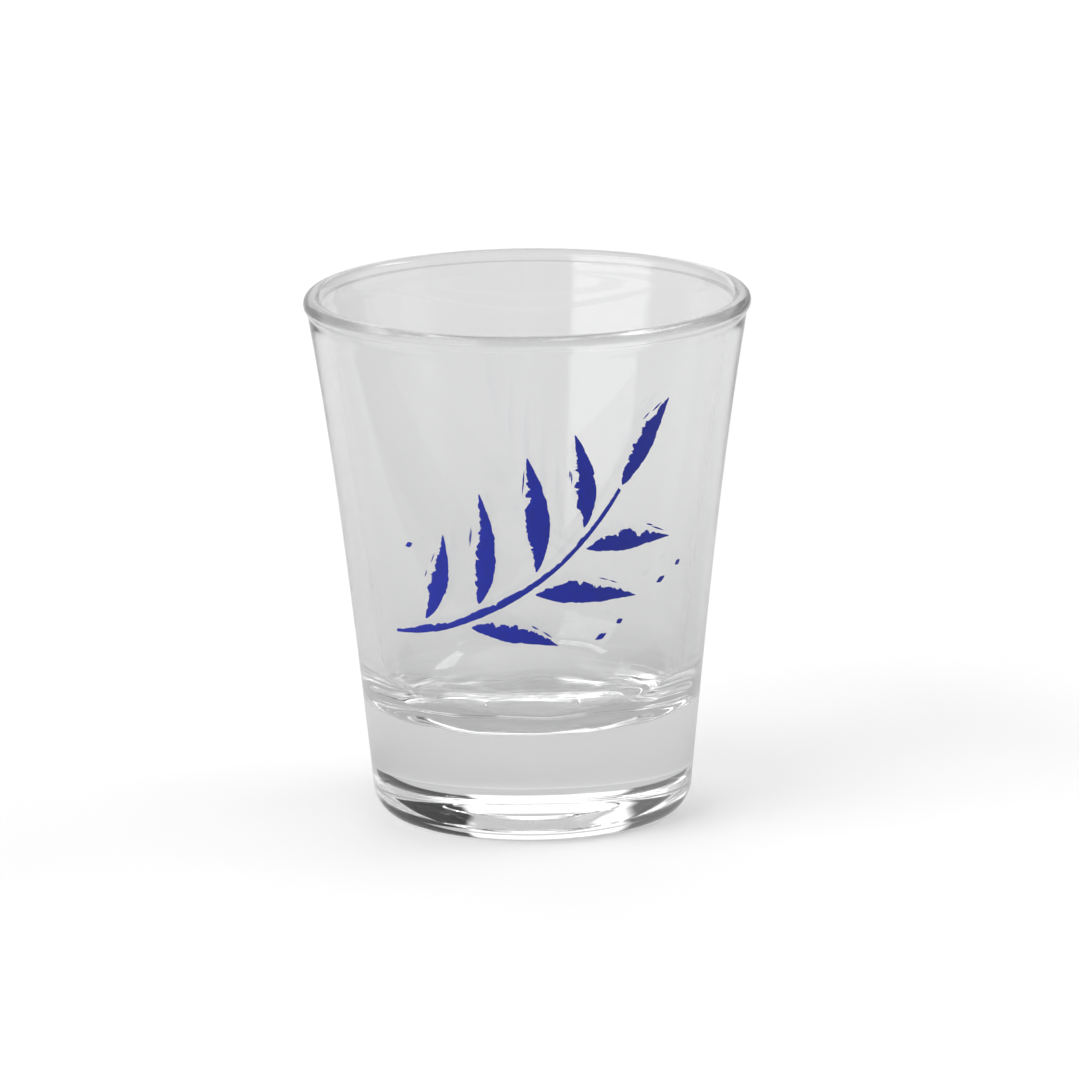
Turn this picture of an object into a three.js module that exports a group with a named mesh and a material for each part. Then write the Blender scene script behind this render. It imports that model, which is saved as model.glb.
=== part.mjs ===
// Shot glass: a heavy-bottomed pressed tumbler with a brush-painted sprig fired on to its wall.
// Millimetres, +Z up, origin on the axis in the plane that the glass stands on. The print faces -Y.
import * as THREE from "three";
import { mergeVertices } from "three/addons/utils/BufferGeometryUtils.js";

// --- Glass: driving dimensions -------------------------------------------------------------------
const HEIGHT = 60.3; // over the rim
const RIM_RADIUS = 25.5; // outside, at the widest of the bead
const BEAD_RADIUS = 1.02; // section of the fire-polished rim
const NECK_DROP = 2.1; // from the bead's centre down to where the wall proper ends
const NECK_INSET = 0.61; // how far the wall stands in from the rim there
const FLARE = 1.08; // how far the neck stands out past the straight line of the lower wall
const FLARE_POWER = 3.4; // how late the wall turns outwards
const HEEL_RADIUS = 18.37; // outside, where the wall meets the rounded heel
const HEEL_HEIGHT = 3.6;
const HEEL_WIDTH = 2.3; // how far the heel curves in under the glass
const REST_RING_WIDTH = 2.0; // the flat ring that the glass stands on
const PUNT_DEPTH = 1.8; // hollow under the base, at the axis
const WALL_AT_NECK = 1.9;
const WALL_AT_FLOOR = 2.5;
const FLOOR_THICKNESS = 12.0; // from the standing plane up to the edge of the well's floor
const FLOOR_DISH = 0.4; // how far the floor sinks from its edge to the axis
const WELL_FILLET = 7.0;

// --- Mould ring: a plain groove that the mould leaves in the hollow of the base ----------------------
const GROOVE_RADIUS = 6.5;
const GROOVE_WIDTH = 0.5;
const GROOVE_DEPTH = 0.12;

// --- Print: driving dimensions ---------------------------------------------------------------------
// Lengths along the print are measured on the wall: u to the right from the front, v up from its lowest line.
const INK_THICKNESS = 0.1;
const INK_GAP = 0.08; // keeps the ink's facets clear of the glass's
const PRINT_BELOW_RIM = 8.5; // from the top of the rim down to the tip of the top leaf
const PRINT_HEIGHT = 30.5;
const STEM_FOOT = { u: -17.0, v: 3.0 };
const STEM_HEAD = { u: 10.5, v: 20.5 };
const STEM_BEND = { u: 0.5, v: 5.5 }; // where the tangents at the two ends meet
const STEM_WIDTH = 1.4;
const LEAF_GAP = 0.6; // bare glass between a leaf's foot and the stem
const LEAF_BOW = 1.2; // how far a leaf's middle line swings towards the stem's head
const TOP_LEAF_WIDTH = 3.0;
const SPECK_WIDTH = 0.7;

// --- Mesh fineness -----------------------------------------------------------------------------------
const TURN_STEPS = 72; // facets round the glass
const WALL_STEPS = 9;
const CURVE_STEPS = 7; // on each rounded corner
const NECK_STEPS = 3;

const NECK_Z = HEIGHT - BEAD_RADIUS - NECK_DROP;
const NECK_RADIUS = RIM_RADIUS - NECK_INSET;
const REST_RADIUS = HEEL_RADIUS - HEEL_WIDTH;
const PUNT_RADIUS = REST_RADIUS - REST_RING_WIDTH;

/** Outside radius of the wall at height z: a straight taper plus a flare that comes late. */
function wallRadius(z) {
  const t = THREE.MathUtils.clamp((z - HEEL_HEIGHT) / (NECK_Z - HEEL_HEIGHT), 0, 1);
  const straight = NECK_RADIUS - FLARE - HEEL_RADIUS;
  return HEEL_RADIUS + straight * t + FLARE * t ** FLARE_POWER;
}

/** Inside radius at height z, with the wall thinning from the floor to the neck. */
function wellRadius(z) {
  const t = (z - FLOOR_THICKNESS) / (NECK_Z - FLOOR_THICKNESS);
  return wallRadius(z) - THREE.MathUtils.lerp(WALL_AT_FLOOR, WALL_AT_NECK, t);
}

/** Height of the hollow under the base at radius r: a shallow spherical cap. */
function puntHeight(r) {
  const sphere = (PUNT_RADIUS ** 2 + PUNT_DEPTH ** 2) / (2 * PUNT_DEPTH);
  return Math.sqrt(sphere ** 2 - r ** 2) - sphere + PUNT_DEPTH;
}

/** Unit direction of a profile curve at z, going up. */
function directionAt(radiusAt, z) {
  const h = 0.01;
  return new THREE.Vector2(radiusAt(z) - radiusAt(z - h), h).normalize();
}

/** Points of an elliptical arc, ends included. Angles in degrees from the outward radius. */
function arc(centre, halfWidth, halfHeight, from, to, steps) {
  const points = [];
  for (let i = 0; i <= steps; i++) {
    const a = THREE.MathUtils.degToRad(THREE.MathUtils.lerp(from, to, i / steps));
    points.push(new THREE.Vector2(
      centre.x + halfWidth * Math.cos(a),
      centre.y + halfHeight * Math.sin(a),
    ));
  }
  return points;
}

/** Smooth curve that leaves p along d and reaches q along e. */
function blend(p, d, q, e, steps) {
  const handle = p.distanceTo(q) / 3;
  const leave = p.clone().addScaledVector(d, handle);
  const reach = q.clone().addScaledVector(e, -handle);
  return new THREE.CubicBezierCurve(p, leave, reach, q).getPoints(steps);
}

/** Underside, from the axis out: the hollow with its groove, then the flat ring that the glass stands on. */
function undersideSection() {
  const inner = GROOVE_RADIUS - GROOVE_WIDTH / 2;
  const outer = GROOVE_RADIUS + GROOVE_WIDTH / 2;
  const hollow = (r) => new THREE.Vector2(r, puntHeight(r));
  const groove = new THREE.Vector2(GROOVE_RADIUS, puntHeight(GROOVE_RADIUS) + GROOVE_DEPTH);
  const cap = [0, inner / 2, inner].map(hollow);
  const skirt = [outer, (outer + PUNT_RADIUS) / 2, PUNT_RADIUS].map(hollow);
  return [...cap, groove, ...skirt, new THREE.Vector2(REST_RADIUS, 0)];
}

/** Outside, from the flat ring up to the neck: the rounded heel and the wall. */
function outsideSection() {
  const centre = new THREE.Vector2(REST_RADIUS, HEEL_HEIGHT);
  const heel = arc(centre, HEEL_WIDTH, HEEL_HEIGHT, -90, 0, CURVE_STEPS).slice(1, -1);
  const wall = [];
  for (let i = 0; i <= WALL_STEPS; i++) {
    const z = THREE.MathUtils.lerp(HEEL_HEIGHT, NECK_Z, i / WALL_STEPS);
    wall.push(new THREE.Vector2(wallRadius(z), z));
  }
  return [...heel, ...wall];
}

/** Rim: a round bead that runs softly into the wall on both sides, from the outer neck to the inner one. */
function rimSection() {
  const centre = new THREE.Vector2(RIM_RADIUS - BEAD_RADIUS, HEIGHT - BEAD_RADIUS);
  const [from, to] = [-36, 171];
  const bead = [[from, 0, 2], [0, 90, 4], [90, to, 4]].flatMap(([start, end, steps], i) => {
    const points = arc(centre, BEAD_RADIUS, BEAD_RADIUS, start, end, steps);
    return i === 0 ? points : points.slice(1);
  });
  const tangent = (degrees) => {
    const a = THREE.MathUtils.degToRad(degrees);
    return new THREE.Vector2(-Math.sin(a), Math.cos(a));
  };
  const outer = new THREE.Vector2(wallRadius(NECK_Z), NECK_Z);
  const inner = new THREE.Vector2(wellRadius(NECK_Z), NECK_Z);
  const up = directionAt(wallRadius, NECK_Z);
  const down = directionAt(wellRadius, NECK_Z).negate();
  const outerNeck = blend(outer, up, bead[0], tangent(from), NECK_STEPS).slice(1, -1);
  const innerNeck = blend(bead.at(-1), tangent(to), inner, down, NECK_STEPS).slice(1, -1);
  return [...outerNeck, ...bead, ...innerNeck];
}

/** Well, from the inner neck down the wall, round the fillet and in to the axis. */
function wellSection() {
  const filletZ = FLOOR_THICKNESS + WELL_FILLET;
  const slope = directionAt(wellRadius, filletZ);
  const lean = Math.atan2(slope.x, slope.y);
  const touchZ = filletZ - WELL_FILLET * Math.sin(lean);
  const wall = [];
  for (let i = 0; i < WALL_STEPS; i++) {
    const z = THREE.MathUtils.lerp(NECK_Z, touchZ, i / WALL_STEPS);
    wall.push(new THREE.Vector2(wellRadius(z), z));
  }
  const centre = new THREE.Vector2(wellRadius(touchZ) - WELL_FILLET * Math.cos(lean), filletZ);
  const leanDegrees = THREE.MathUtils.radToDeg(lean);
  const fillet = arc(centre, WELL_FILLET, WELL_FILLET, -leanDegrees, -90, CURVE_STEPS);
  const floor = [0.7, 0.4, 0].map((share) => {
    return new THREE.Vector2(share * centre.x, FLOOR_THICKNESS - FLOOR_DISH * (1 - share ** 2));
  });
  return [...wall, ...fillet, ...floor];
}

/** A turned surface as one closed mesh: its seam is joined, and the flat triangles at its poles are dropped. */
function closed(turned) {
  const bare = new THREE.BufferGeometry().setAttribute("position", turned.getAttribute("position"));
  bare.setIndex(turned.index);
  const merged = mergeVertices(bare, 1e-4);
  const corners = [];
  for (let i = 0; i < merged.index.count; i += 3) {
    const [a, b, c] = [0, 1, 2].map((k) => merged.index.getX(i + k));
    if (a !== b && b !== c && c !== a) corners.push(a, b, c);
  }
  merged.setIndex(corners);
  merged.computeVertexNormals();
  return merged;
}

/** The glass: one pressed body, its section turned about the axis. */
function glassGeometry() {
  const section = [...undersideSection(), ...outsideSection(), ...rimSection(), ...wellSection()];
  return closed(new THREE.LatheGeometry(section, TURN_STEPS).rotateX(Math.PI / 2));
}

// --- Print -------------------------------------------------------------------------------------------
const PRINT_FOOT_Z = HEIGHT - PRINT_BELOW_RIM - PRINT_HEIGHT;

/** Where a point of the flat print lies on the glass, lifted off it by lift. */
function wrapped(u, v, lift) {
  const z = PRINT_FOOT_Z + v;
  const angle = u / wallRadius(z) - Math.PI / 2;
  const out = wallRadius(z) + lift;
  return [out * Math.cos(angle), out * Math.sin(angle), z];
}

/**
 * A thin closed slab of ink along a spine. spine(t) gives the middle of the stroke at t from 0 to 1, and
 * halfWidth(t) gives half its width there. The slab is wrapped on the wall.
 */
function strokeGeometry(spine, halfWidth, steps, across) {
  const positions = [];
  for (const lift of [INK_GAP, INK_GAP + INK_THICKNESS]) {
    for (let i = 0; i <= steps; i++) {
      const t = i / steps;
      const p = spine.getPoint(t);
      const d = spine.getTangent(t);
      for (let j = 0; j <= across; j++) {
        const side = (1 - (2 * j) / across) * halfWidth(t);
        positions.push(...wrapped(p.x - d.y * side, p.y + d.x * side, lift));
      }
    }
  }
  const row = across + 1;
  const layer = row * (steps + 1);
  const at = (level, i, j) => level * layer + i * row + j;
  const faces = [];
  const quad = (a, b, c, d) => faces.push(a, b, c, a, c, d);
  for (let i = 0; i < steps; i++) {
    for (let j = 0; j < across; j++) {
      quad(at(1, i, j), at(1, i, j + 1), at(1, i + 1, j + 1), at(1, i + 1, j));
      quad(at(0, i, j), at(0, i + 1, j), at(0, i + 1, j + 1), at(0, i, j + 1));
    }
    quad(at(0, i, 0), at(1, i, 0), at(1, i + 1, 0), at(0, i + 1, 0));
    quad(at(0, i, across), at(0, i + 1, across), at(1, i + 1, across), at(1, i, across));
  }
  for (let j = 0; j < across; j++) {
    quad(at(0, 0, j), at(0, 0, j + 1), at(1, 0, j + 1), at(1, 0, j));
    quad(at(0, steps, j), at(1, steps, j), at(1, steps, j + 1), at(0, steps, j + 1));
  }
  const geometry = new THREE.BufferGeometry();
  geometry.setAttribute("position", new THREE.Float32BufferAttribute(positions, 3));
  geometry.setIndex(faces);
  geometry.computeVertexNormals();
  return geometry;
}

/** The stem's middle line, from its foot to where the top leaf begins. */
function stemLine() {
  const [foot, bend, head] = [STEM_FOOT, STEM_BEND, STEM_HEAD].map(({ u, v }) => new THREE.Vector2(u, v));
  return new THREE.QuadraticBezierCurve(foot, bend, head);
}

/** Half-width of a stem that is widest near its foot and thins to its head. */
function stemHalfWidth(t) {
  const taper = 1 - 0.6 * t;
  const foot = 0.35 + 0.65 * Math.min(1, 6 * t);
  return (STEM_WIDTH / 2) * taper * foot;
}

/** Half-width of a leaf: pointed at both ends and widest a little below the middle. */
function leafHalfWidth(width) {
  const blunt = 0.06; // the ends keep a little width, so that the slab stays closed there
  return (t) => (width / 2) * (blunt + (1 - blunt) * Math.sin(Math.PI * t ** 0.8));
}

/** A leaf's middle line: from its foot along a heading in degrees, bowed to the left of that by bow. */
function leafLine(foot, heading, length, bow) {
  const a = THREE.MathUtils.degToRad(heading);
  const along = new THREE.Vector2(Math.cos(a), Math.sin(a));
  const left = new THREE.Vector2(-along.y, along.x);
  const tip = foot.clone().addScaledVector(along, length);
  const middle = foot.clone().addScaledVector(along, length / 2).addScaledVector(left, bow);
  return new THREE.QuadraticBezierCurve(foot, middle, tip);
}

// Leaves up the stem: how far along it, on which side, and how many degrees each leans off the stem.
const LEFT = 1;
const RIGHT = -1;
const SIDE_LEAVES = [
  { name: "leaf_1_left", at: 0.14, side: LEFT, length: 10.5, width: 2.7, lean: 62 },
  { name: "leaf_1_right", at: 0.3, side: RIGHT, length: 10.0, width: 2.7, lean: 34 },
  { name: "leaf_2_left", at: 0.36, side: LEFT, length: 13.0, width: 3.1, lean: 64 },
  { name: "leaf_2_right", at: 0.55, side: RIGHT, length: 12.0, width: 3.0, lean: 40 },
  { name: "leaf_3_left", at: 0.6, side: LEFT, length: 13.5, width: 3.2, lean: 56 },
  { name: "leaf_3_right", at: 0.78, side: RIGHT, length: 11.0, width: 2.8, lean: 46 },
  { name: "leaf_4_left", at: 0.83, side: LEFT, length: 11.0, width: 2.8, lean: 46 },
];

// Specks thrown off the brush.
const SPECKS = [
  { u: 15.6, v: 8.6, length: 1.4 },
  { u: 18.6, v: 10.2, length: 1.0 },
  { u: 7.4, v: 2.9, length: 1.5 },
  { u: 10.0, v: 4.6, length: 0.9 },
  { u: -15.2, v: 13.4, length: 1.1 },
];
const SPECK_HEADING = 24;

const glassMaterial = new THREE.MeshStandardMaterial({
  color: 0xe6ebea, roughness: 0.05, metalness: 0, transparent: true, opacity: 0.35,
});
const inkMaterial = new THREE.MeshStandardMaterial({ color: 0x2a3196, roughness: 0.4, metalness: 0 });

const shotGlass = new THREE.Group();

function addPiece(name, geometry, material) {
  const mesh = new THREE.Mesh(geometry, material);
  mesh.name = name;
  shotGlass.add(mesh);
}

function addStem() {
  addPiece("print_stem", strokeGeometry(stemLine(), stemHalfWidth, 14, 1), inkMaterial);
}

function addLeaf(name, foot, heading, length, width, bow) {
  const line = leafLine(foot, heading, length, bow);
  addPiece("print_" + name, strokeGeometry(line, leafHalfWidth(width), 10, 2), inkMaterial);
}

/** Leaves beside the stem: each foot stands off the stem's edge by the leaf gap. */
function addSideLeaves() {
  const stem = stemLine();
  for (const { name, at, side, length, width, lean } of SIDE_LEAVES) {
    const d = stem.getTangent(at);
    const outward = new THREE.Vector2(-d.y, d.x).multiplyScalar(side);
    const foot = stem.getPoint(at).addScaledVector(outward, stemHalfWidth(at) + LEAF_GAP);
    const heading = THREE.MathUtils.radToDeg(d.angle()) + side * lean;
    addLeaf(name, foot, heading, length, width, -side * LEAF_BOW);
  }
}

/** The leaf that carries the stem's line on to the top of the print. */
function addTopLeaf() {
  const d = stemLine().getTangent(1);
  const foot = stemLine().getPoint(1).addScaledVector(d, LEAF_GAP);
  const length = (PRINT_HEIGHT - foot.y) / d.y;
  addLeaf("leaf_top", foot, THREE.MathUtils.radToDeg(d.angle()), length, TOP_LEAF_WIDTH, LEAF_BOW / 2);
}

function addSpecks() {
  SPECKS.forEach(({ u, v, length }, i) => {
    const line = leafLine(new THREE.Vector2(u, v), SPECK_HEADING, length, 0);
    addPiece(`print_speck_${i + 1}`, strokeGeometry(line, leafHalfWidth(SPECK_WIDTH), 4, 1), inkMaterial);
  });
}

addPiece("glass_body", glassGeometry(), glassMaterial);
addStem();
addSideLeaves();
addTopLeaf();
addSpecks();

export default shotGlass;
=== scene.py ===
"""Shot glass: a turned body of clear pressed glass with a sprig painted on it in blue enamel.

Laid out as a Blender add-on and run as a script. Everything is in metres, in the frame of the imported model:
+Z up along the glass's axis, the standing plane at z = 0, and the middle of the print facing -Y.
"""

import math

import bpy
import numpy as np
from mathutils import Matrix, Vector


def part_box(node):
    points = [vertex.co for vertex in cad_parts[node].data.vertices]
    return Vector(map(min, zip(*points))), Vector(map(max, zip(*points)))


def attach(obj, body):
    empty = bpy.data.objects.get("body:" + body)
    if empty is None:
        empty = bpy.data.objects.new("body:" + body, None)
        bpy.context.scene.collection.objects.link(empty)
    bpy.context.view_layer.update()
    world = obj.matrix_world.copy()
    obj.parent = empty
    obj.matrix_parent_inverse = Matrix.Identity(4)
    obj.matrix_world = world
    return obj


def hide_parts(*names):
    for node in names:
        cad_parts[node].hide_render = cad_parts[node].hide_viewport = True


bl_info = {
    "name": "Painted Shot Glass",
    "version": (1, 0, 0),
    "blender": (4, 5, 0),
    "location": "View3D > Sidebar > Shot Glass",
    "description": "Builds a small pressed-glass tumbler with a brush-painted sprig on its wall",
    "category": "Add Mesh",
}

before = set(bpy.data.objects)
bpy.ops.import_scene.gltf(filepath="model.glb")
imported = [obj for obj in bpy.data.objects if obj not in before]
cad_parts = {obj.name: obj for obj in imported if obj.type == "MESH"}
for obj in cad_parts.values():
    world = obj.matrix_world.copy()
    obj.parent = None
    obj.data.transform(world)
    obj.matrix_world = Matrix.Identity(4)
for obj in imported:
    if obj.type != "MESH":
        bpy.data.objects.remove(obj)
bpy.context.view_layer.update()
GLASS_LOW, GLASS_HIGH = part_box("glass_body")
GLASS_HEIGHT = GLASS_HIGH[2] - GLASS_LOW[2]
GLASS_RADIUS = (GLASS_HIGH[0] - GLASS_LOW[0]) / 2
BODY = "root"
MM = 0.001


def length(name, description, default, **more):
    """A length in metres, given in millimetres."""
    return bpy.props.FloatProperty(
        name=name, description=description, default=default * MM, unit="LENGTH", precision=5, **more
    )


def number(name, description, default, **more):
    return bpy.props.FloatProperty(name=name, description=description, default=default, **more)


def colour(name, description, default):
    return bpy.props.FloatVectorProperty(
        name=name, description=description, default=default, subtype="COLOR", size=3, min=0, max=1
    )


# --- Settings ------------------------------------------------------------------------------------------


class GlassSettings(bpy.types.PropertyGroup):
    """Section of the turned glass, its mould marks and its colour."""

    height: length("Height", "From the standing plane to the top of the rim", GLASS_HEIGHT / MM)
    rim_radius: length("Rim radius", "Outside, at the widest of the bead", GLASS_RADIUS / MM)
    bead_radius: length("Bead radius", "Section of the fire-polished rim", 1.02)
    neck_drop: length("Neck drop", "From the bead's centre down to where the wall proper ends", 2.1)
    neck_inset: length("Neck inset", "How far the wall stands in from the rim there", 0.61)
    flare: length("Flare", "How far the neck stands out past the straight line of the lower wall", 1.08)
    flare_power: number("Flare power", "How late the wall turns outwards", 3.4, min=1)
    heel_radius: length("Heel radius", "Outside, where the wall meets the rounded heel", 18.37)
    heel_height: length("Heel height", "From the standing plane to the top of the rounded heel", 3.6)
    heel_width: length("Heel width", "How far the heel curves in under the glass", 2.3)
    rest_ring: length("Rest ring", "Width of the flat ring that the glass stands on", 2.0)
    punt_depth: length("Punt depth", "Hollow under the base, at the axis", 1.8)
    wall_at_neck: length("Wall at neck", "Thickness of the wall under the rim", 1.9)
    wall_at_floor: length("Wall at floor", "Thickness of the wall at the height of the well's floor", 2.5)
    floor_thickness: length("Floor thickness", "From the standing plane to the well's floor", 12.0)
    floor_dish: length("Floor dish", "How far the well's floor sinks towards the axis", 0.4)
    well_fillet: length("Well fillet", "Radius between the well's floor and its wall", 7.0)
    groove_radius: length("Groove radius", "Middle of the ring that the mould leaves under the base", 6.5)
    groove_width: length("Groove width", "Across that ring", 0.5)
    groove_depth: length("Groove depth", "How far it is pressed in", 0.12)
    ripple: length("Ripple", "Height of the faint ripple left by the mould", 0.006)
    well_ripple: length("Well ripple", "Height of the stronger ripple round the well's fillet", 0.05)
    tint: colour("Tint", "Colour of the glass", (0.966, 0.969, 0.969))
    index: number("Refractive index", "Of soda-lime glass", 1.52, min=1)


class PrintSettings(bpy.types.PropertyGroup):
    """Sizes of the enamel sprig. Its leaves and specks are listed under their operators."""

    below_rim: length("Below rim", "From the top of the rim down to the tip of the top leaf", 8.5)
    height: length("Height", "From the print's lowest line to the tip of the top leaf", 30.5)
    stem_width: length("Stem width", "Widest, near its foot", 1.4)
    leaf_gap: length("Leaf gap", "Bare glass between a leaf's foot and the stem", 0.6)
    leaf_bow: length("Leaf bow", "How far a leaf's middle line swings towards the stem's head", 1.2)
    top_leaf_width: length("Top leaf width", "Widest part of the leaf that ends the stem", 3.0)
    speck_width: length("Speck width", "Widest part of a speck", 0.7)
    gap: length("Gap", "Between the glass and the ink's inner face", 0.02)
    proud: length("Proud", "How far the ink's outer face stands off the glass", 0.06)
    tear: length("Tear", "How far the torn edge of a stroke wanders", 1.5)
    slivers: bpy.props.IntProperty(name="Slivers", description="Slivers beside each leaf", default=2)
    ink: colour("Ink", "Colour of the enamel", (0.002, 0.015, 0.345))


class StudioSettings(bpy.types.PropertyGroup):
    """Camera, floor and light. In what the glass sees, the floor carries painted shade, a painted shadow and
    a painted glowing patch.
    """

    distance: number("Camera distance", "From the lens to the middle of the glass", 1.0, unit="LENGTH")
    elevation: number("Elevation", "Of the camera above the horizon", math.radians(13.473), subtype="ANGLE")
    roll: number("Roll", "Clockwise lean of the camera", math.radians(0.623), subtype="ANGLE")
    view_width: length("View width", "Width of the view at the middle of the glass", 123.8)
    aim_right: length("Aim right", "How far right of the axis the camera looks", 1.15)
    aim_up: length("Aim up", "How far above the aim height the camera looks", 1.18)
    aim_height: length("Aim height", "Of the point on the axis that the camera turns about", 30)
    floor_size: number("Floor size", "Side of the floor", 6.0, unit="LENGTH")
    floor_shown: colour("Floor", "Colour of the floor as the camera sees it", (0.96, 0.96, 0.96))
    # Painted shadow: the floor beside the glass, darker in what the glass sees.
    shadowed_near_floor: colour("Near floor", "Colour beside the glass, in the light it throws", (0.60, 0.60, 0.60))
    # Painted shade: the floor farther off is darker in what the glass sees than where the camera sees it.
    shaded_far_floor: colour("Far floor", "Colour farther off, in the light it throws", (0.72, 0.72, 0.72))
    # Painted light: the floor under the glass glows in what the glass sees, though it is no lamp.
    painted_glow_radius: number("Lit under", "Radius of the floor under the glass that glows", 0.0185)
    # Painted shade: a dark strip of floor right of the glass, seen only in the glass.
    painted_shade_from: number("Dark from", "Right of the glass, where the lit floor ends", 0.27, unit="LENGTH")
    backdrop: number("Backdrop", "Brightness of what stands beyond the floor", 1.0, min=0)


# --- Surfaces ------------------------------------------------------------------------------------------


def grid_faces(rows, columns):
    """Quads of a rows by columns grid of vertices whose rows close on themselves."""
    i, j = np.meshgrid(np.arange(rows - 1), np.arange(columns), indexing="ij")
    next_j = (j + 1) % columns
    corners = [i * columns + j, i * columns + next_j, (i + 1) * columns + next_j, (i + 1) * columns + j]
    return np.stack(corners, -1).reshape(-1, 4)


def new_piece(name, vertices, faces, sharp_from=None):
    """An object at the origin with its place in its mesh, shaded smooth up to the angle sharp_from."""
    mesh = bpy.data.meshes.new(name)
    mesh.from_pydata(vertices.tolist(), [], faces)
    mesh.update()
    mesh.polygons.foreach_set("use_smooth", np.ones(len(mesh.polygons), dtype=bool))
    if sharp_from is not None:
        mesh.set_sharp_from_angle(angle=sharp_from)
    piece = bpy.data.objects.new(name, mesh)
    bpy.context.scene.collection.objects.link(piece)
    return piece


def add_uv(piece, name, uv_of_vertices):
    """A UV map that gives each corner of a face its vertex's (u, v)."""
    mesh = piece.data
    corners = np.empty(len(mesh.loops), dtype=np.int32)
    mesh.loops.foreach_get("vertex_index", corners)
    layer = mesh.uv_layers.new(name=name)
    layer.data.foreach_set("uv", uv_of_vertices[corners].astype(np.float32).ravel())


def place_in_frame(piece, node, material):
    """The piece rides on the glass, stands for its CAD node and takes its finish."""
    piece.data.materials.append(material)
    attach(piece, BODY)
    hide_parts(node)


# --- Glass ---------------------------------------------------------------------------------------------

TURNS = 336  # columns round the glass


def arc(centre, half_width, half_height, start, end, count):
    """Elliptical arc: centre + (half_width cos a, half_height sin a), for count angles a."""
    angles = np.radians(np.linspace(start, end, count))
    return np.stack(
        [centre[0] + half_width * np.cos(angles), centre[1] + half_height * np.sin(angles)], axis=1
    )


def heading(degrees):
    """Direction of a circle's tangent, going anticlockwise, at an angle from the outward radius."""
    return np.array([-math.sin(math.radians(degrees)), math.cos(math.radians(degrees))])


def blend(start, leaving, end, reaching, count):
    """Cubic Bezier from start to end whose handles are a third of the gap along the two directions."""
    handle = np.linalg.norm(end - start) / 3
    t = np.linspace(0, 1, count)[:, None]
    first = start + handle * leaving
    second = end - handle * reaching
    return (1 - t) ** 3 * start + 3 * t * (1 - t) ** 2 * first + 3 * t**2 * (1 - t) * second + t**3 * end


class Wall:
    """Outside and inside radius of the glass's wall as functions of height."""

    def __init__(self, sizes):
        self.sizes = sizes
        self.low = sizes.heel_height
        self.high = sizes.height - sizes.bead_radius - sizes.neck_drop

    def outside(self, z):
        """Heel radius + straight share * t + flare * t ** power, t from 0 at the heel to 1 at the neck."""
        s = self.sizes
        t = np.clip((z - self.low) / (self.high - self.low), 0, 1)
        straight = s.rim_radius - s.neck_inset - s.flare - s.heel_radius
        return s.heel_radius + straight * t + s.flare * t**s.flare_power

    def inside(self, z):
        """Outside radius less a thickness that goes evenly from the well's floor to the neck."""
        s = self.sizes
        t = (z - s.floor_thickness) / (self.high - s.floor_thickness)
        return self.outside(z) - s.wall_at_floor - (s.wall_at_neck - s.wall_at_floor) * t

    def direction(self, radius_at, z):
        """Unit direction of a side of the wall at z, going up."""
        step = 0.01 * MM
        along = np.array([radius_at(z) - radius_at(z - step), step])
        return along / np.linalg.norm(along)


def underside_section(s):
    """
    Hollow under the base as a spherical cap, z = sqrt(R^2 - r^2) - R + depth, then the flat standing ring.
    The mould's ring adds its depth * (0.5 + 0.5 cos) over its width.
    """
    rest = s.heel_radius - s.heel_width
    edge = rest - s.rest_ring
    sphere = (edge**2 + s.punt_depth**2) / (2 * s.punt_depth)
    inner, outer = s.groove_radius - s.groove_width / 2, s.groove_radius + s.groove_width / 2
    r = np.concatenate([
        np.linspace(0, inner, 14)[:-1],
        np.linspace(inner, outer, 15)[:-1],
        np.linspace(outer, edge, 16),
    ])
    across = np.clip((r - s.groove_radius) / s.groove_width, -0.5, 0.5)
    groove = s.groove_depth * (0.5 + 0.5 * np.cos(2 * np.pi * across))
    hollow = np.stack([r, np.sqrt(sphere**2 - r**2) - sphere + s.punt_depth + groove], axis=1)
    ring = np.stack([np.linspace(edge, rest, 5)[1:], np.zeros(4)], axis=1)
    return np.concatenate([hollow, ring])


def outside_section(s, wall):
    """Rounded heel, then the wall from the heel to the neck."""
    centre = (s.heel_radius - s.heel_width, s.heel_height)
    heel = arc(centre, s.heel_width, s.heel_height, -90, 0, 22)[1:-1]
    z = np.linspace(wall.low, wall.high, 46)
    return np.concatenate([heel, np.stack([wall.outside(z), z], axis=1)])


def rim_section(s, wall):
    """Round bead between two cubic blends that leave and reach the wall along its own slope."""
    start, end = -36, 171
    centre = (s.rim_radius - s.bead_radius, s.height - s.bead_radius)
    bead = arc(centre, s.bead_radius, s.bead_radius, start, end, 30)
    outer = np.array([wall.outside(wall.high), wall.high])
    inner = np.array([wall.inside(wall.high), wall.high])
    up = wall.direction(wall.outside, wall.high)
    down = -wall.direction(wall.inside, wall.high)
    rise = blend(outer, up, bead[0], heading(start), 10)[1:-1]
    fall = blend(bead[-1], heading(end), inner, down, 10)[1:]
    return np.concatenate([rise, bead, fall])


def well_section(s, wall):
    """Inside of the wall, a fillet that touches it and the floor, and a floor dished as a parabola."""
    centre_z = s.floor_thickness + s.well_fillet
    along = wall.direction(wall.inside, centre_z)
    lean = math.atan2(along[0], along[1])
    touch_z = centre_z - s.well_fillet * math.sin(lean)
    z = np.linspace(wall.high, touch_z, 40)[1:]
    side = np.stack([wall.inside(z), z], axis=1)
    centre_r = wall.inside(touch_z) - s.well_fillet * math.cos(lean)
    fillet = arc((centre_r, centre_z), s.well_fillet, s.well_fillet, -math.degrees(lean), -90, 34)[1:]
    share = np.linspace(1, 0, 18)[1:]
    floor = np.stack([share * centre_r, s.floor_thickness - s.floor_dish * (1 - share**2)], axis=1)
    return np.concatenate([side, fillet, floor])


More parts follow.
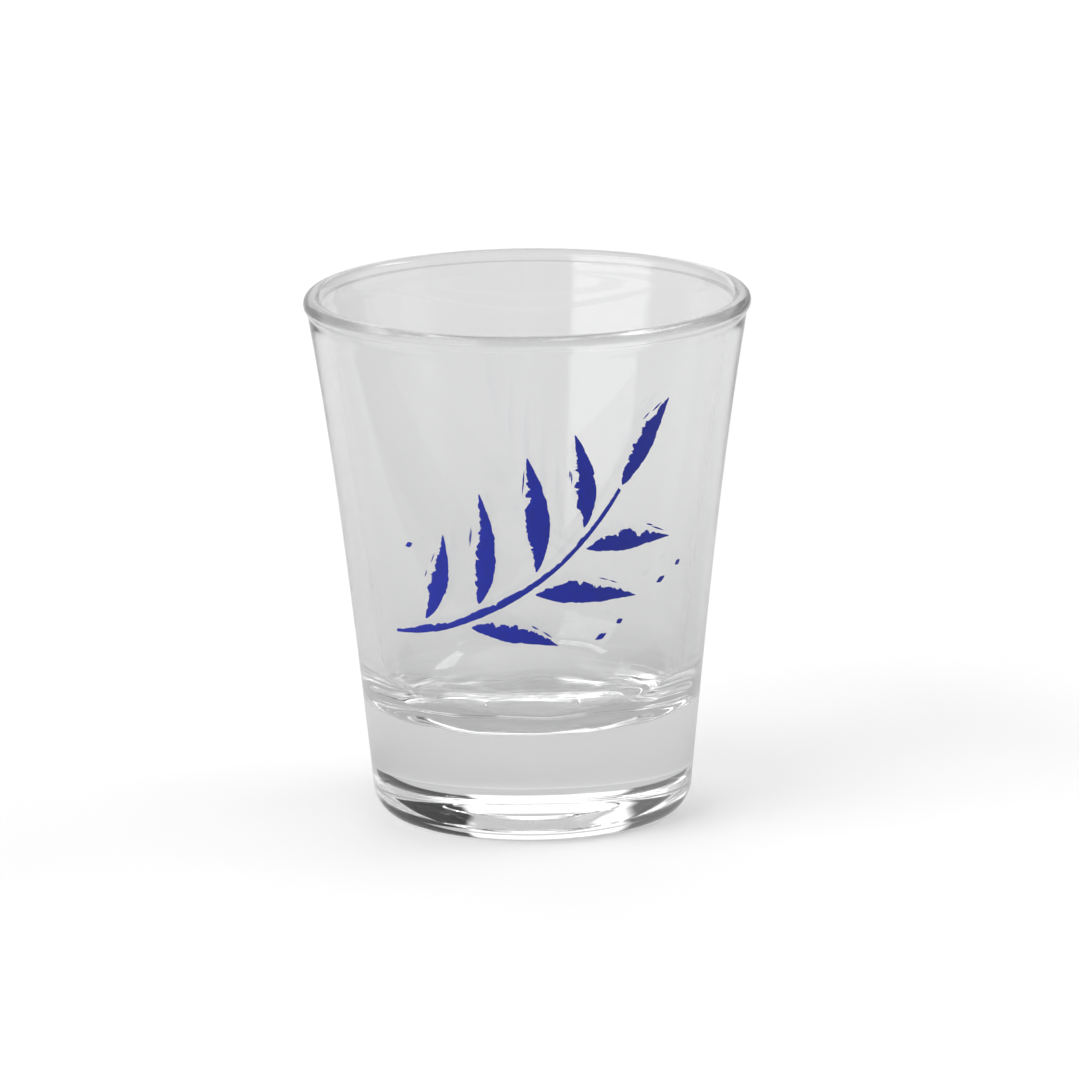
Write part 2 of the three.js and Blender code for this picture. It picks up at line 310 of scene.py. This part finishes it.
def outward(section):
    """Unit normals of a section that goes from the axis under the base, round outside, to the axis above."""
    along = np.gradient(section, axis=0)
    normals = np.stack([along[:, 1], -along[:, 0]], axis=1)
    return normals / np.linalg.norm(normals, axis=1, keepdims=True)


def ripple(turn, path, seed, waves, most_lobes, wavelength):
    """Sum of cosines of (lobes * turn + 2 pi path / pitch + phase), scaled to about plus or minus 1."""
    rng = np.random.default_rng(seed)
    total = np.zeros(np.broadcast(turn, path).shape)
    for _ in range(waves):
        lobes = rng.integers(1, most_lobes + 1)
        pitch = wavelength * rng.uniform(0.7, 2.2) * rng.choice([-1, 1])
        total += np.cos(lobes * turn + 2 * np.pi * path / pitch + rng.uniform(0, 2 * np.pi))
    return total / math.sqrt(waves)


def glass_surface(s):
    """The section turned about the axis, (r cos a, r sin a, z), moved along its normal by the ripple."""
    wall = Wall(s)
    parts = [underside_section(s), outside_section(s, wall), rim_section(s, wall), well_section(s, wall)]
    section = np.concatenate(parts)
    part = np.repeat(np.arange(4), [len(p) for p in parts])
    normals = outward(section)
    path = np.concatenate([[0], np.cumsum(np.linalg.norm(np.diff(section, axis=0), axis=1))])
    ring = slice(1, -1)
    r, z, path, part = section[ring, 0:1], section[ring, 1:2], path[ring, None], part[ring, None]
    turn = np.linspace(0, 2 * np.pi, TURNS, endpoint=False)[None, :]

    on_foot = part == 0
    fillet_top = s.floor_thickness + 1.2 * s.well_fillet
    near_fillet = (part == 3) * np.clip((fillet_top - z) / s.well_fillet, 0, 1)
    near_axis = np.clip(r / (0.5 * s.heel_radius), 0, 1)
    long_waves = ripple(turn, path, 3, 9, 7, 0.030)
    short_waves = ripple(turn, path, 11, 12, 11, 0.012)
    moved = s.ripple * long_waves * ~on_foot * near_axis
    moved = moved + s.well_ripple * short_waves * near_fillet * near_axis

    radius = r + moved * normals[ring, 0:1]
    height = z + moved * normals[ring, 1:2]
    rings = np.stack([radius * np.cos(turn), radius * np.sin(turn), height * np.ones_like(turn)], axis=-1)
    poles = [[0, 0, section[0, 1]], [0, 0, section[-1, 1]]]
    vertices = np.concatenate([rings.reshape(-1, 3), poles])

    rows = len(r)
    bottom, top = rows * TURNS, rows * TURNS + 1
    this = np.arange(TURNS)
    following = (this + 1) % TURNS
    under = np.stack([np.full(TURNS, bottom), following, this], axis=1)
    last = (rows - 1) * TURNS
    over = np.stack([np.full(TURNS, top), last + this, last + following], axis=1)
    return vertices, grid_faces(rows, TURNS).tolist() + under.tolist() + over.tolist()


# --- Print ---------------------------------------------------------------------------------------------

# Leaves up the stem: node, how far along the stem, side (1 left, -1 right), length and width in
# millimetres, and how many degrees the leaf leans off the stem.
SIDE_LEAVES = (
    ("leaf_1_left", 0.14, 1, 10.5, 2.7, 62),
    ("leaf_1_right", 0.30, -1, 10.0, 2.7, 34),
    ("leaf_2_left", 0.36, 1, 13.0, 3.1, 64),
    ("leaf_2_right", 0.55, -1, 12.0, 3.0, 40),
    ("leaf_3_left", 0.60, 1, 13.5, 3.2, 56),
    ("leaf_3_right", 0.78, -1, 11.0, 2.8, 46),
    ("leaf_4_left", 0.83, 1, 11.0, 2.8, 46),
)
# Specks thrown off the brush: right of the front, above the print's lowest line, and length, in millimetres.
SPECKS = ((15.6, 8.6, 1.4), (18.6, 10.2, 1.0), (7.4, 2.9, 1.5), (10.0, 4.6, 0.9), (-15.2, 13.4, 1.1))
SPECK_HEADING = 24  # degrees up from the right that a speck points
# The stem's foot, the meeting point of its end tangents and its head, in millimetres on the wall.
STEM_POINTS = np.array([[-17.0, 3.0], [0.5, 5.5], [10.5, 20.5]]) * MM


class Curve:
    """Quadratic Bezier: (1 - t)^2 a + 2 t (1 - t) b + t^2 c."""

    def __init__(self, points):
        self.points = np.asarray(points, dtype=float)

    def at(self, t):
        a, b, c = self.points
        t = np.atleast_1d(t)[:, None]
        return (1 - t) ** 2 * a + 2 * t * (1 - t) * b + t**2 * c

    def direction(self, t):
        a, b, c = self.points
        t = np.atleast_1d(t)[:, None]
        along = (1 - t) * (b - a) + t * (c - b)
        return along / np.linalg.norm(along, axis=1, keepdims=True)


def left_of(direction):
    """The direction turned a quarter turn to the left."""
    return np.stack([-direction[..., 1], direction[..., 0]], axis=-1)


def leaf_curve(foot, degrees, length_, bow):
    """A leaf's middle line: from its foot along a heading, bowed to the left by bow."""
    along = np.array([math.cos(math.radians(degrees)), math.sin(math.radians(degrees))])
    middle = foot + along * length_ / 2 + left_of(along) * bow
    return Curve([foot, middle, foot + along * length_])


def wrapped(wall, foot_z, flat, lift):
    """Flat point (u, v) on the wall: z = foot_z + v, angle = u / R(z) from the front, radius R(z) + lift."""
    z = foot_z + flat[..., 1]
    radius = wall.outside(z)
    angle = flat[..., 0] / radius - np.pi / 2
    out = radius + lift
    return np.stack([out * np.cos(angle), out * np.sin(angle), z], axis=-1)


def torn(t, rng, teeth):
    """Torn edge from 0 to 1: the sum of a coarse, a middling and a fine line through random heights."""
    edge = 0.0
    for share, finer, power in ((0.5, 1, 1.6), (0.3, 3, 2.5), (0.2, 7, 3.0)):
        at = np.sort(rng.random(finer * teeth))
        edge = edge + share * np.interp(t, at, rng.random(finer * teeth) ** power)
    return edge


ACROSS = 9  # columns over a stroke's face
ALONG = 260  # rows along a leaf


def stroke(wall, print_, foot_z, curve, half_width, seed, tear, rows=ALONG):
    """
    One brush stroke as a closed strip of ink. Its flat face is curve(t) + side * left(t), where side goes
    from the torn edge, + half width less a torn depth, to the smooth one, - half width. The strip's ring
    at t is that face lifted proud of the glass, with rounded edges, and back again a gap off the glass.
    """
    rng = np.random.default_rng(seed)
    t = np.linspace(0, 1, rows)
    width = half_width(t)
    slack = np.minimum(tear, 1.15 * width)
    upper = width - slack * torn(t, rng, max(5, rows // 20))
    lower = -width + 0.3 * slack * torn(t, rng, max(5, rows // 26))
    share = np.linspace(0, 1, ACROSS)[None, :, None]
    side = upper[:, None, None] * (1 - share) + lower[:, None, None] * share
    slant = 0.35 * slack[:, None, None] * torn(t, rng, max(5, rows // 10))[:, None, None] * (1 - share)
    along = curve.direction(t)[:, None, :]
    face = curve.at(t)[:, None, :] + side * left_of(along) + slant * along
    crown = 1 - (2 * share[..., 0] - 1) ** 6
    top = wrapped(wall, foot_z, face, print_.gap + (print_.proud - print_.gap) * (0.3 + 0.7 * crown))
    under = wrapped(wall, foot_z, face[:, ::-1], print_.gap)
    return np.concatenate([top, under], axis=1)


def strip_mesh(strips):
    """Vertices and faces of closed strips: each strip's rings are joined in order and its two ends capped."""
    vertices, faces, first = [], [], 0
    for rings in strips:
        rows, columns = rings.shape[:2]
        vertices.append(rings.reshape(-1, 3))
        faces += (grid_faces(rows, columns) + first).tolist()
        faces.append([first + k for k in range(columns)][::-1])
        faces.append([first + (rows - 1) * columns + k for k in range(columns)])
        first += rows * columns
    return np.concatenate(vertices), faces


def sliver_strips(wall, print_, foot_z, curve, half_width, seed):
    """Thin slivers that stray bristles leave beside the torn edge, over the outer half of a stroke."""
    rng = np.random.default_rng(seed + 500)
    strips = []
    for _ in range(print_.slivers):
        start = rng.uniform(0.45, 0.8)
        span = rng.uniform(0.08, 0.18)
        t = np.array([start, start + span / 2, start + span])
        offset = half_width(t) + rng.uniform(0.15, 0.45) * MM
        points = curve.at(t) + offset[:, None] * left_of(curve.direction(t))
        widest = rng.uniform(0.06, 0.12) * MM
        strips.append(
            stroke(wall, print_, foot_z, Curve(points), taper(widest), rng.integers(1000), widest / 2, 24)
        )
    return strips


def taper(widest):
    """Half width of a speck or sliver: a half sine with blunt ends."""
    return lambda t: widest * (0.1 + 0.9 * np.sin(np.pi * t))


def leaf_half_width(width):
    """Half width of a leaf: w / 2 * (0.06 + 0.94 sin(pi t^0.8))."""
    return lambda t: width / 2 * (0.06 + 0.94 * np.sin(np.pi * t**0.8))


def stem_half_width(width):
    """Half width of the stem: w / 2 * (1 - 0.6 t), with a start drawn in over its first sixth."""
    return lambda t: width / 2 * (1 - 0.6 * t) * (0.35 + 0.65 * np.minimum(1, 6 * t))


def side_leaf(print_, share, side, length_, lean):
    """Middle line of a leaf that starts a gap off the stem's edge and leans off the stem's direction."""
    stem = Curve(STEM_POINTS)
    foot = stem.at(share)[0]
    along = stem.direction(share)[0]
    away = side * left_of(along)
    start = foot + away * (stem_half_width(print_.stem_width)(share) + print_.leaf_gap)
    degrees = math.degrees(math.atan2(along[1], along[0])) + side * lean
    return leaf_curve(start, degrees, length_, -side * print_.leaf_bow)


def top_leaf(print_):
    """Middle line of the leaf that carries the stem on to the print's top."""
    stem = Curve(STEM_POINTS)
    along = stem.direction(1)[0]
    start = stem.at(1)[0] + along * print_.leaf_gap
    reach = (print_.height - start[1]) / along[1]
    return leaf_curve(start, math.degrees(math.atan2(along[1], along[0])), reach, print_.leaf_bow / 2)


def paint(name, node, curve, half_width, seed, slivers=True, tear=None, rows=ALONG):
    """One stroke of ink as a piece of its own, with the slivers beside it."""
    glass, print_ = bpy.context.scene.glass_settings, bpy.context.scene.print_settings
    wall = Wall(glass)
    foot_z = glass.height - print_.below_rim - print_.height
    tear = print_.tear if tear is None else tear
    strips = [stroke(wall, print_, foot_z, curve, half_width, seed, tear, rows)]
    if slivers:
        strips += sliver_strips(wall, print_, foot_z, curve, half_width, seed)
    vertices, faces = strip_mesh(strips)
    piece = new_piece(name, vertices, faces, math.radians(40))
    add_uv(piece, "Stroke", np.concatenate([stroke_uv(s) for s in strips]))
    place_in_frame(piece, node, blue_enamel(print_))


def stroke_uv(rings):
    """(u, v) in millimetres: u along the stroke and v across it."""
    rows, columns = rings.shape[:2]
    middle = rings[:, columns // 4]
    steps = np.linalg.norm(np.diff(middle, axis=0), axis=1)
    u = np.concatenate([[0], np.cumsum(steps)])[:, None] * np.ones(columns)
    v = np.linalg.norm(rings - rings[:, :1], axis=2)
    return np.stack([u, v], axis=-1).reshape(-1, 2) / MM


# --- Materials -----------------------------------------------------------------------------------------


class Socket:
    """An output of a node. Arithmetic on it adds Math nodes."""

    def __init__(self, tree, output):
        self.tree = tree
        self.output = output

    def maths(self, operation, first, second=0.0):
        return self.tree.node("ShaderNodeMath", {"operation": operation}, {0: first, 1: second})["Value"]

    def __add__(self, other):
        return self.maths("ADD", self, other)

    def __sub__(self, other):
        return self.maths("SUBTRACT", self, other)

    def __rsub__(self, other):
        return self.maths("SUBTRACT", other, self)

    def __mul__(self, other):
        return self.maths("MULTIPLY", self, other)

    def __truediv__(self, other):
        return self.maths("DIVIDE", self, other)

    def __abs__(self):
        return self.maths("ABSOLUTE", self)

    def clamped(self):
        return self.tree.node("ShaderNodeClamp", {}, {"Value": self})["Result"]

    def smoothed(self):
        """Three squared less two cubed of the value held to 0 to 1."""
        held = self.clamped()
        return held * held * (3 - held * 2)

    __radd__ = __add__
    __rmul__ = __mul__


class Node:
    """A node whose outputs are read by name."""

    def __init__(self, tree, node):
        self.tree = tree
        self.node = node

    def __getitem__(self, name):
        return Socket(self.tree, self.node.outputs[name])


class Tree:
    """A shader's node tree."""

    def __init__(self, owner):
        owner.use_nodes = True
        self.nodes = owner.node_tree.nodes
        self.links = owner.node_tree.links
        self.nodes.clear()

    def node(self, kind, settings, inputs):
        """A node of a kind: its settings first, then the values or links of its sockets."""
        node = self.nodes.new(kind)
        for name, value in settings.items():
            setattr(node, name, value)
        for name, value in inputs.items():
            if isinstance(value, Socket):
                self.links.new(value.output, node.inputs[name])
            else:
                node.inputs[name].default_value = value
        return Node(self, node)

    def noise(self, vector, scale, detail=3.0, roughness=0.5):
        inputs = {"Vector": vector, "Scale": scale, "Detail": detail, "Roughness": roughness}
        return self.node("ShaderNodeTexNoise", {}, inputs)["Fac"]

    def mapped(self, vector, scale):
        return self.node("ShaderNodeMapping", {}, {"Vector": vector, "Scale": scale})["Vector"]

    def mix(self, factor, first, second):
        """Colours mixed by a factor."""
        node = self.nodes.new("ShaderNodeMix")
        node.data_type = "RGBA"
        for socket, value in zip((node.inputs[0], node.inputs[6], node.inputs[7]), (factor, first, second)):
            if isinstance(value, Socket):
                self.links.new(value.output, socket)
            else:
                socket.default_value = value
        return Socket(self, node.outputs[2])


def opaque(rgb):
    return (*rgb, 1.0)


def darker(rgb, share):
    return tuple(channel * share for channel in rgb)


POLISHED = 0.002  # roughness of the glass at its smoothest
CLOUDED = 0.012  # added where it is clouded
BEAD_ROUGHNESS = 0.08  # added on the fire-polished bead
BEAD_CLOUDED = 0.1  # added where the bead is clouded


def clear_glass(glass):
    """Pressed soda-lime glass: clear, with a breath of tint, faint roughness patches and mould texture."""
    name = "pressed_glass"
    if name in bpy.data.materials:
        return bpy.data.materials[name]
    material = bpy.data.materials.new(name)
    tree = Tree(material)
    place = tree.node("ShaderNodeTexCoord", {}, {})["Object"]
    cloud = tree.noise(place, 90.0)
    grain = tree.noise(place, 420.0, 2.0)
    tint = tree.mix(cloud, opaque(glass.tint), opaque(darker(glass.tint, 0.99)))
    z = tree.node("ShaderNodeSeparateXYZ", {}, {"Vector": place})["Z"]
    on_bead = ((z - (glass.height - 1.6 * glass.bead_radius)) / glass.bead_radius).smoothed()
    roughness = POLISHED + cloud * CLOUDED + on_bead * (BEAD_ROUGHNESS + cloud * BEAD_CLOUDED)
    bump = tree.node("ShaderNodeBump", {}, {"Strength": 0.03, "Distance": 0.01 * MM, "Height": grain})
    surface = tree.node(
        "ShaderNodeBsdfPrincipled",
        {},
        {
            "Base Color": tint,
            "Roughness": roughness,
            "IOR": glass.index,
            "Transmission Weight": 1.0,
            "Normal": bump["Normal"],
        },
    )
    tree.node("ShaderNodeOutputMaterial", {}, {"Surface": surface["BSDF"]})
    return material


def blue_enamel(print_):
    """Fired enamel: deep blue, mottled, drawn out in bristle streaks, satin, with a skin that undulates."""
    name = "fired_enamel"
    if name in bpy.data.materials:
        return bpy.data.materials[name]
    material = bpy.data.materials.new(name)
    tree = Tree(material)
    coordinates = tree.node("ShaderNodeTexCoord", {}, {})
    mottle = tree.noise(coordinates["Object"], 700.0, 4.0)
    streaks = tree.noise(tree.mapped(coordinates["UV"], (0.35, 5.0, 1.0)), 1.0, 4.0, 0.6)
    light = ((streaks - 0.5) * 1.6 + (mottle - 0.5) * 0.9 + 0.5).clamped()
    pigment = tree.mix(light, opaque(darker(print_.ink, 0.8)), opaque(darker(print_.ink, 1.22)))
    roughness = 0.34 + mottle * 0.16 + streaks * 0.1
    height = streaks * 0.7 + mottle * 0.3
    bump = tree.node("ShaderNodeBump", {}, {"Strength": 0.35, "Distance": 0.02 * MM, "Height": height})
    surface = tree.node(
        "ShaderNodeBsdfPrincipled",
        {},
        {"Base Color": pigment, "Roughness": roughness, "IOR": 1.5, "Normal": bump["Normal"]},
    )
    tree.node("ShaderNodeOutputMaterial", {}, {"Surface": surface["BSDF"]})
    return material


PAINTED_SHADOW_REACH = 0.04  # how far from the axis the painted shadow beside the glass reaches
PAINTED_SHADOW_FADE = 0.16  # and over how much more it fades into the painted shade of the floor farther off
PAINTED_SHADE_FADE = 0.03  # over which the floor turns into the painted dark strip at its right
PAINTED_SHADE_SHARE = 0.1  # brightness of the painted dark strip beyond it, as a share
PAINTED_GLOW = 0.45  # painted light: the floor under the glass glows, though it is no lamp


def floor_paint(studio):
    """Matt pale floor, lighter where the camera sees it than in what it throws into the glass. In the glass
    it shows as painted shade, with a painted shadow beside the glass, a painted dark strip to its right and a
    painted glowing patch under it.
    """
    material = bpy.data.materials.new("floor_paint")
    tree = Tree(material)
    place = tree.node("ShaderNodeTexCoord", {}, {})["Object"]
    axes = tree.node("ShaderNodeSeparateXYZ", {}, {"Vector": place})
    away = tree.node("ShaderNodeVectorMath", {"operation": "LENGTH"}, {0: place})["Value"]
    # Painted shadow: the floor that the glass sees is darker near the glass and fades out with distance.
    far = ((away - PAINTED_SHADOW_REACH) / PAINTED_SHADOW_FADE).smoothed()
    # Painted shade: a dark strip of floor right of the glass, in what the glass sees.
    in_painted_shade = ((axes["X"] - studio.painted_shade_from) / PAINTED_SHADE_FADE).smoothed()
    seen = tree.node("ShaderNodeLightPath", {}, {})["Is Camera Ray"]
    # Painted shade: what the glass sees of the floor is a darker copy of it, with the painted shadow and the
    # painted dark strip.
    thrown = tree.mix(far, opaque(studio.shadowed_near_floor), opaque(studio.shaded_far_floor))
    thrown = tree.mix(in_painted_shade, thrown, opaque(darker(studio.shaded_far_floor, PAINTED_SHADE_SHARE)))
    cloud = tree.noise(place, 6.0)
    shown = tree.mix(cloud, opaque(studio.floor_shown), opaque(darker(studio.floor_shown, 0.985)))
    matt = tree.node("ShaderNodeBsdfDiffuse", {}, {"Color": tree.mix(seen, thrown, shown)})["BSDF"]
    # Painted light: the floor under the glass glows in what the glass sees, though it is no lamp.
    under = ((studio.painted_glow_radius - away) / (2 * MM)).smoothed() * (1 - seen)
    painted_glow = tree.node("ShaderNodeEmission", {}, {"Strength": PAINTED_GLOW})["Emission"]
    surface = tree.node("ShaderNodeMixShader", {}, {0: under, 1: matt, 2: painted_glow})["Shader"]
    tree.node("ShaderNodeOutputMaterial", {}, {"Surface": surface})
    return material


# --- Studio --------------------------------------------------------------------------------------------

# Patches of the studio round the glass: middle azimuth (0 behind the glass, 90 to its right), half width,
# lowest and highest elevation, how much the lowest rises with each degree of azimuth and how soft the
# edge is, all in degrees, and the light that the patch adds to what is everywhere.
PATCHES = (
    ("softbox overhead", 0, 180, 60, 95, 0, 6, 1.0),
    ("lit wall behind", -5, 22, 9, 31, 0, 3, 0.65),
    ("softbox at front left", -130, 24, -2, 40, 0, 4.5, 1.6),
    ("strip light at left", -120, 29, 44, 52, 0, 2, 5.0),
    ("strip light at right", 70, 23, 44, 52, 0, 2, 5.0),
    ("shade at front right", 150, 30, 0, 40, 0, 8, -0.3),
    ("shade at front", -167, 13, 0, 40, 0, 8, -0.3),
    ("dark side at right", 43, 26, 3.0, 40, -0.4, 3, -0.60),
    ("dark side at left", -48, 19, 5, 40, 0.15, 3, -0.48),
)
SURROUND = 0.62  # light that is everywhere
LEAST_LIGHT = 0.02  # what the dark patches leave
SENSOR = 36  # width of the camera's sensor, in millimetres
BOUNCES = 96  # enough for light trapped in the wall to find its way out


def sky_patch(azimuth, elevation, middle, half_width, low, high, rise, soft):
    """1 inside a patch of azimuth and elevation, and a smooth fall to 0 over the soft edge round it."""
    aside = azimuth - middle
    across = ((half_width - abs(aside)) / soft + 0.5).smoothed()
    above = ((elevation - (low + aside * rise)) / soft + 0.5).smoothed()
    below = ((high - elevation) / soft + 0.5).smoothed()
    return across * above * below


def studio_light(studio):
    """Light by direction: the surround and the patches, and an even backdrop where the camera sees it."""
    world = bpy.data.worlds.new("studio_light")
    bpy.context.scene.world = world
    tree = Tree(world)
    direction = tree.node("ShaderNodeTexCoord", {}, {})["Generated"]
    axes = tree.node("ShaderNodeSeparateXYZ", {}, {"Vector": direction})
    x, y, z = axes["X"], axes["Y"], axes["Z"]
    degrees = 180 / math.pi
    azimuth = x.maths("ARCTAN2", x, y) * degrees
    elevation = z.maths("ARCSINE", z) * degrees
    light = SURROUND
    for _, *patch, amount in PATCHES:
        light = light + sky_patch(azimuth, elevation, *patch) * amount
    light = light.maths("MAXIMUM", light, LEAST_LIGHT)
    seen = tree.node("ShaderNodeLightPath", {}, {})["Is Camera Ray"]
    strength = seen * studio.backdrop + (1 - seen) * light
    sky = tree.node("ShaderNodeBackground", {}, {"Color": (1, 1, 1, 1), "Strength": strength})
    tree.node("ShaderNodeOutputWorld", {}, {"Surface": sky["Background"]})


def studio_camera(studio):
    """A camera in front of the glass and above it, rolled a little, aimed near the middle of the axis."""
    camera = bpy.data.objects.new("camera", bpy.data.cameras.new("camera"))
    camera.data.sensor_width = SENSOR
    camera.data.lens = SENSOR * studio.distance / studio.view_width
    camera.data.clip_end = 20
    tilt = studio.elevation
    right, up = Vector((1, 0, 0)), Vector((0, math.sin(tilt), math.cos(tilt)))
    back = Vector((0, -math.cos(tilt), math.sin(tilt)))
    turn = Matrix.Rotation(-studio.roll, 3, back)
    right, up = turn @ right, turn @ up
    place = Vector((0, 0, studio.aim_height)) + back * studio.distance
    place += right * studio.aim_right + up * studio.aim_up
    matrix = Matrix((right, up, back)).transposed().to_4x4()
    matrix.translation = place
    camera.matrix_world = matrix
    bpy.context.scene.collection.objects.link(camera)
    bpy.context.scene.camera = camera


def studio_floor(studio):
    """A square floor at the standing plane."""
    half = studio.floor_size / 2
    corners = np.array([[-half, -half, 0], [half, -half, 0], [half, half, 0], [-half, half, 0]])
    floor = new_piece("floor", corners, [[0, 1, 2, 3]])
    floor.data.materials.append(floor_paint(studio))


# --- Operators -----------------------------------------------------------------------------------------


class SHOTGLASS_OT_glass(bpy.types.Operator):
    """Turn the pressed glass body"""

    bl_idname = "shotglass.glass"
    bl_label = "Glass"

    def execute(self, context):
        glass = context.scene.glass_settings
        vertices, faces = glass_surface(glass)
        piece = new_piece("glass", vertices, faces)
        place_in_frame(piece, "glass_body", clear_glass(glass))
        return {"FINISHED"}


class SHOTGLASS_OT_stem(bpy.types.Operator):
    """Paint the sprig's stem"""

    bl_idname = "shotglass.stem"
    bl_label = "Stem"

    def execute(self, context):
        width = context.scene.print_settings.stem_width
        tear = context.scene.print_settings.tear / 2
        paint("ink_stem", "print_stem", Curve(STEM_POINTS), stem_half_width(width), 1, False, tear, 400)
        return {"FINISHED"}


class SHOTGLASS_OT_leaves(bpy.types.Operator):
    """Paint the leaves, each one stroke of the brush"""

    bl_idname = "shotglass.leaves"
    bl_label = "Leaves"

    def execute(self, context):
        print_ = context.scene.print_settings
        for k, (name, share, side, length_, width, lean) in enumerate(SIDE_LEAVES):
            curve = side_leaf(print_, share, side, length_ * MM, lean)
            paint("ink_" + name, "print_" + name, curve, leaf_half_width(width * MM), 10 + k)
        widest = leaf_half_width(print_.top_leaf_width)
        paint("ink_leaf_top", "print_leaf_top", top_leaf(print_), widest, 30)
        return {"FINISHED"}


class SHOTGLASS_OT_specks(bpy.types.Operator):
    """Spatter the specks beside the sprig"""

    bl_idname = "shotglass.specks"
    bl_label = "Specks"

    def execute(self, context):
        width = context.scene.print_settings.speck_width
        for k, (u, v, length_) in enumerate(SPECKS, 1):
            curve = leaf_curve(np.array([u, v]) * MM, SPECK_HEADING, length_ * MM, 0)
            half_width = taper(width / 2)
            paint(f"ink_speck_{k}", f"print_speck_{k}", curve, half_width, 40 + k, False, width / 4, 40)
        return {"FINISHED"}


class SHOTGLASS_OT_studio(bpy.types.Operator):
    """Set up the camera, the floor and the light"""

    bl_idname = "shotglass.studio"
    bl_label = "Studio"

    def execute(self, context):
        studio = context.scene.studio_settings
        studio_camera(studio)
        studio_floor(studio)
        studio_light(studio)
        scene = context.scene
        scene.view_settings.view_transform = "Standard"
        scene.cycles.use_denoising = True
        scene.cycles.max_bounces = BOUNCES
        scene.cycles.transmission_bounces = BOUNCES
        scene.cycles.glossy_bounces = BOUNCES
        scene.cycles.diffuse_bounces = 3
        scene.cycles.blur_glossy = 0.3
        return {"FINISHED"}


class SHOTGLASS_PT_panel(bpy.types.Panel):
    """The glass's pieces and the studio, each with a button to build it"""

    bl_label = "Shot Glass"
    bl_idname = "SHOTGLASS_PT_panel"
    bl_space_type = "VIEW_3D"
    bl_region_type = "UI"
    bl_category = "Shot Glass"

    def draw(self, context):
        for operator in OPERATORS:
            self.layout.operator(operator.bl_idname)


OPERATORS = (
    SHOTGLASS_OT_studio,
    SHOTGLASS_OT_glass,
    SHOTGLASS_OT_stem,
    SHOTGLASS_OT_leaves,
    SHOTGLASS_OT_specks,
)
SETTINGS = {
    "glass_settings": GlassSettings,
    "print_settings": PrintSettings,
    "studio_settings": StudioSettings,
}


def register():
    for name, group in SETTINGS.items():
        bpy.utils.register_class(group)
        setattr(bpy.types.Scene, name, bpy.props.PointerProperty(type=group))
    for item in (*OPERATORS, SHOTGLASS_PT_panel):
        bpy.utils.register_class(item)


def unregister():
    for item in (SHOTGLASS_PT_panel, *reversed(OPERATORS)):
        bpy.utils.unregister_class(item)
    for name, group in reversed(SETTINGS.items()):
        delattr(bpy.types.Scene, name)
        bpy.utils.unregister_class(group)


def main():
    register()
    bpy.ops.shotglass.studio()
    bpy.ops.shotglass.glass()
    bpy.ops.shotglass.stem()
    bpy.ops.shotglass.leaves()
    bpy.ops.shotglass.specks()


if __name__ == "__main__":
    main()
